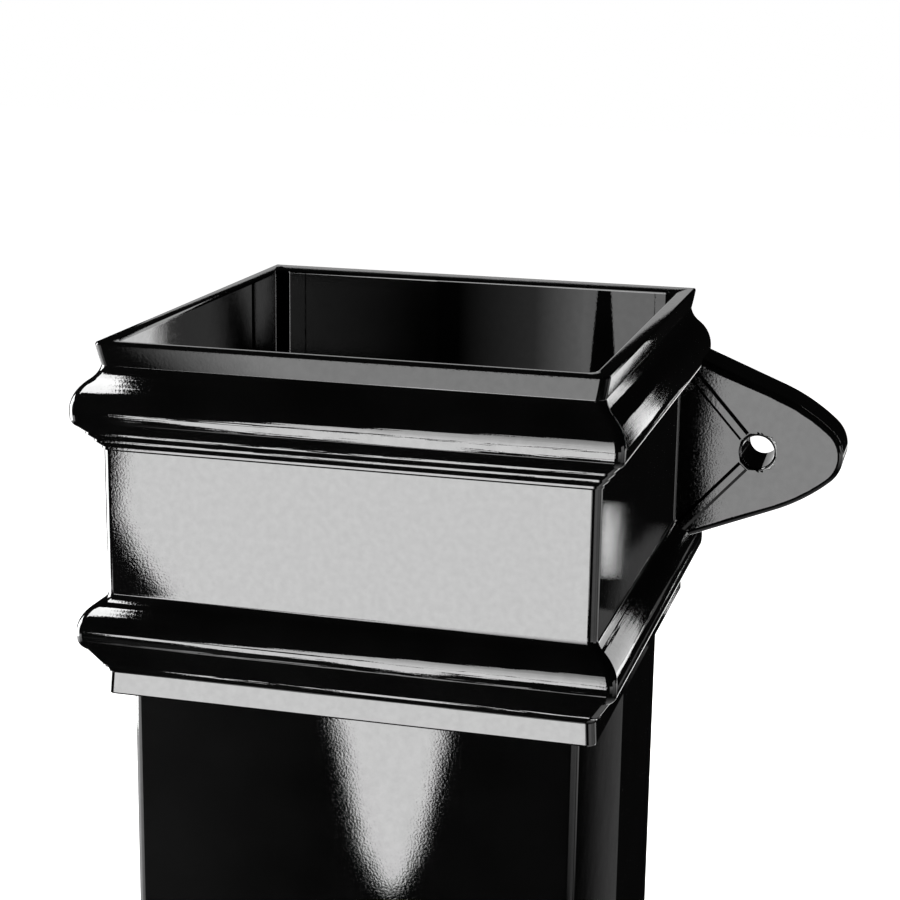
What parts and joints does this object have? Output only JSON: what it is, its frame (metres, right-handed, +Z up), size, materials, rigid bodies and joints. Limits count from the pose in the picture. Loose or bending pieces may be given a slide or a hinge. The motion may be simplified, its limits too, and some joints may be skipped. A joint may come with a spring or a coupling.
{
  "type": "cast iron downpipe",
  "caption": "Square cast iron rainwater pipe with a moulded socket at the top, a plain spigot end and flat wall ears with fixing holes.",
  "frame": {"origin": "on the pipe's axis, in the plane of the spigot end that the pipe stands on", "axes": "+Z up the pipe to the socket's mouth, +Y to the wall that the ears lie on, +X across the ears"},
  "size_m": [0.1886, 0.1179, 0.675],
  "materials": {
    "gloss_black_iron": "gloss black paint over a sand-cast skin"
  },
  "bodies": {
    "root": {"downpipe": "gloss_black_iron"}
  },
  "joints": []
}
